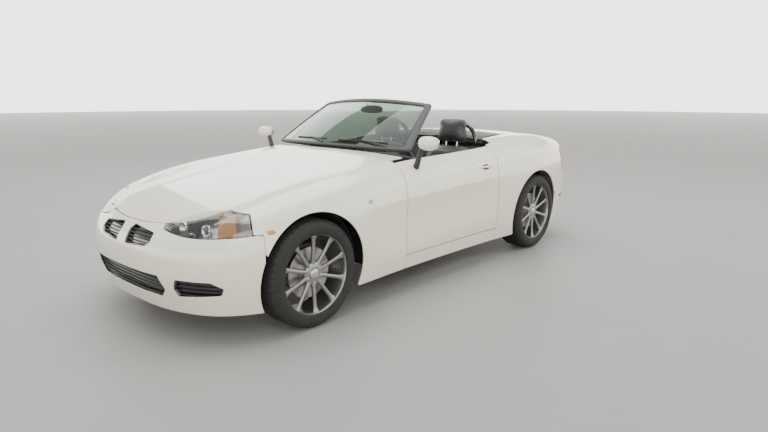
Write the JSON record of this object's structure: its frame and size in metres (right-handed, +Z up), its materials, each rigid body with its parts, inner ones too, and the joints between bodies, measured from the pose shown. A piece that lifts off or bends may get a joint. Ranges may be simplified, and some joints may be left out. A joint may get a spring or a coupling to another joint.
{
  "type": "roadster convertible car",
  "caption": "Low two-seat open sports car with a long bonnet, short tail, folded soft top, opening doors, bonnet and boot, steered front wheels and rolling wheels.",
  "frame": {"origin": "on the ground, at the middle of the overall length and width", "axes": "+X forward, +Y to the driver's left, +Z up"},
  "size_m": [4.0912, 1.9008, 1.2887],
  "materials": {
    "alloy": "silver lacquered alloy",
    "black_trim": "grained black plastic",
    "body_paint": "warm off-white gloss paint",
    "canvas": "black canvas hood",
    "cast_metal": "cast alloy",
    "disc_steel": "turned cast iron and steel",
    "exhaust_steel": "brushed stainless steel",
    "gloss_black": "gloss black",
    "lamp_glass": "clear lamp cover over a bright reflector",
    "leather": "black seat leather",
    "red_lens": "red lamp lens",
    "screen_glass": "green tinted laminated glass",
    "steel": "satin black underbody coating",
    "tyre": "black tyre rubber"
  },
  "bodies": {
    "root": {"floor_pan": "steel", "front_bulkhead": "steel", "rear_bulkhead": "steel", "sills": "body_paint", "front_subframe": "steel", "rear_axle": "steel", "engine_block": "cast_metal", "radiator": "black_trim", "exhaust": "exhaust_steel", "arch_liners": "black_trim", "front_bumper": "body_paint", "front_grilles": "black_trim", "headlights": "lamp_glass", "front_fender_left": "body_paint", "front_fender_right": "body_paint", "rear_quarter_left": "body_paint", "rear_quarter_right": "body_paint", "rear_bumper": "body_paint", "tail_lights": "red_lens", "plate_carrier": "black_trim", "cowl_panel": "body_paint", "windscreen_frame": "gloss_black", "windscreen_glass": "screen_glass", "wipers": "black_trim", "dashboard": "black_trim", "centre_console": "black_trim", "steering_column": "black_trim", "seat_left": "leather", "seat_right": "leather", "roll_hoops": "gloss_black", "soft_top": "canvas", "boot_tub": "black_trim"},
    "bonnet": {"bonnet": "body_paint"},
    "boot_lid": {"boot_lid": "body_paint"},
    "door_left": {"door_left": "body_paint", "door_mirror_left": "body_paint"},
    "door_right": {"door_right": "body_paint", "door_mirror_right": "body_paint"},
    "steering_wheel": {"steering_wheel": "leather"},
    "knuckle_left": {"knuckle_left": "cast_metal"},
    "knuckle_right": {"knuckle_right": "cast_metal"},
    "wheel_front_left": {"tyre_front_left": "tyre", "rim_front_left": "alloy", "disc_front_left": "disc_steel"},
    "wheel_front_right": {"tyre_front_right": "tyre", "rim_front_right": "alloy", "disc_front_right": "disc_steel"},
    "wheel_rear_left": {"tyre_rear_left": "tyre", "rim_rear_left": "alloy", "disc_rear_left": "disc_steel"},
    "wheel_rear_right": {"tyre_rear_right": "tyre", "rim_rear_right": "alloy", "disc_rear_right": "disc_steel"}
  },
  "joints": [
    {"name": "steer_left", "type": "hinge", "parent": "root", "child": "knuckle_left", "pos_m": [1.305, 0.6995, 0.317], "axis": [0, 0, 1], "range_deg": [-33, 33]},
    {"name": "steer_right", "type": "hinge", "parent": "root", "child": "knuckle_right", "pos_m": [1.305, -0.6995, 0.317], "axis": [0, 0, 1], "range_deg": [-33, 33]},
    {"name": "roll_front_left", "type": "hinge", "parent": "knuckle_left", "child": "wheel_front_left", "pos_m": [1.305, 0.7375, 0.317], "axis": [0, 1, 0], "continuous": true},
    {"name": "roll_rear_left", "type": "hinge", "parent": "root", "child": "wheel_rear_left", "pos_m": [-1.19, 0.7625, 0.317], "axis": [0, 1, 0], "continuous": true},
    {"name": "roll_front_right", "type": "hinge", "parent": "knuckle_right", "child": "wheel_front_right", "pos_m": [1.305, -0.7375, 0.317], "axis": [0, 1, 0], "continuous": true},
    {"name": "roll_rear_right", "type": "hinge", "parent": "root", "child": "wheel_rear_right", "pos_m": [-1.19, -0.7625, 0.317], "axis": [0, 1, 0], "continuous": true},
    {"name": "steering", "type": "hinge", "parent": "root", "child": "steering_wheel", "pos_m": [0.035, 0.365, 0.79], "axis": [-0.9272, 0, 0.3746], "range_deg": [-500, 500]},
    {"name": "door_left", "type": "hinge", "parent": "root", "child": "door_left", "pos_m": [0.585, 0.80462, 0.545], "axis": [0, 0, -1], "range_deg": [0, 62]},
    {"name": "door_right", "type": "hinge", "parent": "root", "child": "door_right", "pos_m": [0.585, -0.80462, 0.545], "axis": [0, 0, 1], "range_deg": [0, 62]},
    {"name": "bonnet_hinge", "type": "hinge", "parent": "root", "child": "bonnet", "pos_m": [0.598, 0, 0.94379], "axis": [0, -1, 0], "range_deg": [0, 50]},
    {"name": "boot_hinge", "type": "hinge", "parent": "root", "child": "boot_lid", "pos_m": [-1.153, 0, 0.99164], "axis": [0, 1, 0], "range_deg": [0, 70]}
  ],
  "couplings": [
    {"joint": "steer_right", "follows": "steer_left", "ratio": 1},
    {"joint": "steering", "follows": "steer_left", "ratio": 15}
  ]
}
